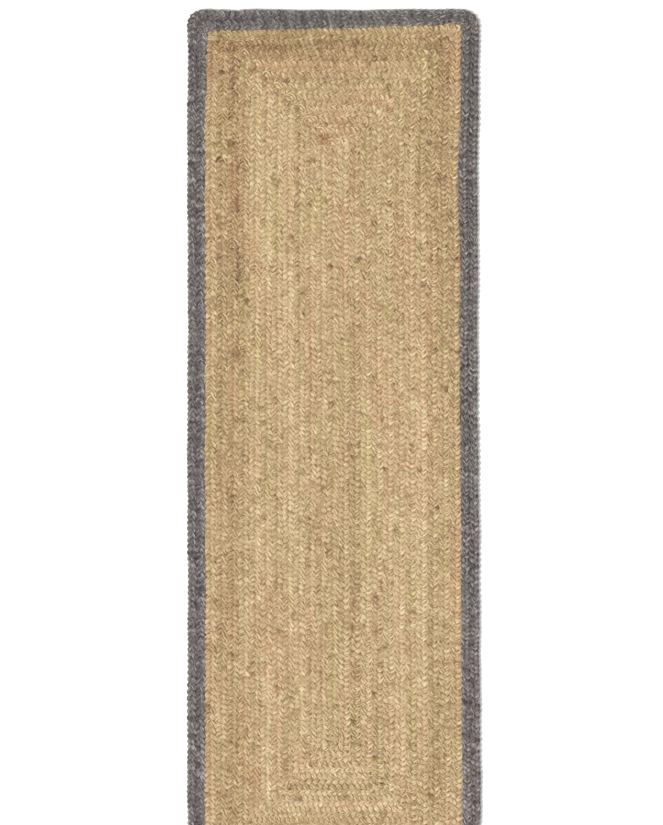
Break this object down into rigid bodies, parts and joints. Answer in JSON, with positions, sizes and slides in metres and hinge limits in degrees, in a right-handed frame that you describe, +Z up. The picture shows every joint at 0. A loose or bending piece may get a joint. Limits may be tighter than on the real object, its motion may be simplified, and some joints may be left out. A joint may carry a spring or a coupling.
{
  "type": "runner rug",
  "caption": "Flat rectangular runner coiled from three-strand jute braid, natural field with a grey braided border.",
  "frame": {"origin": "on the floor, under the middle of the rug", "axes": "+Z up out of the floor, +Y along the runner towards the end where the grey border begins, +X across it"},
  "size_m": [0.6, 1.7998, 0.01],
  "materials": {
    "natural_jute": "matte undyed jute braid",
    "grey_jute": "matte grey dyed jute braid",
    "lacing_thread": "waxed natural thread"
  },
  "bodies": {
    "root": {"centre_strip": "natural_jute", "natural_round_01": "natural_jute", "natural_round_02": "natural_jute", "natural_round_03": "natural_jute", "natural_round_04": "natural_jute", "natural_round_05": "natural_jute", "natural_round_06": "natural_jute", "natural_round_07": "natural_jute", "natural_round_08": "natural_jute", "natural_round_09": "natural_jute", "natural_round_10": "natural_jute", "natural_round_11": "natural_jute", "grey_round_01": "grey_jute", "grey_round_02": "grey_jute", "lacing_thread_01": "lacing_thread", "lacing_thread_02": "lacing_thread", "lacing_thread_03": "lacing_thread", "lacing_thread_04": "lacing_thread", "lacing_thread_05": "lacing_thread", "lacing_thread_06": "lacing_thread", "lacing_thread_07": "lacing_thread", "lacing_thread_08": "lacing_thread", "lacing_thread_09": "lacing_thread", "lacing_thread_10": "lacing_thread", "lacing_thread_11": "lacing_thread", "lacing_thread_12": "lacing_thread", "lacing_thread_13": "lacing_thread", "start_whipping": "natural_jute", "natural_end_whipping": "natural_jute", "grey_end_whipping": "grey_jute"}
  },
  "joints": []
}
